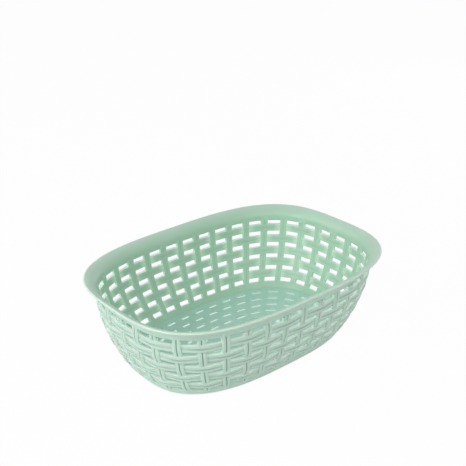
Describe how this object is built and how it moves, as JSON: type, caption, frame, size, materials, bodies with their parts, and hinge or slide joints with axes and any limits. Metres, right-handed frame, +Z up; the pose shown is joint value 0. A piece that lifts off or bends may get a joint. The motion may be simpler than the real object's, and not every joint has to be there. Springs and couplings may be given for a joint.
{
  "type": "basket",
  "caption": "Oval moulded plastic storage basket with woven-look slotted walls, flared smooth rim and slotted floor; open top, stands on a narrow foot ring.",
  "frame": {"origin": "middle of the basket's footprint, on the surface that it stands on", "axes": "+X along the long side, +Y towards the far long side, +Z up"},
  "size_m": [0.29, 0.204, 0.0863],
  "materials": {
    "mint_plastic": "satin injection-moulded polypropylene, mint green, slightly see-through where it is thin"
  },
  "bodies": {
    "root": {"rim": "mint_plastic", "back_wall": "mint_plastic", "left_wall": "mint_plastic", "front_wall": "mint_plastic", "right_wall": "mint_plastic", "foot_ring": "mint_plastic", "floor": "mint_plastic"}
  },
  "joints": []
}
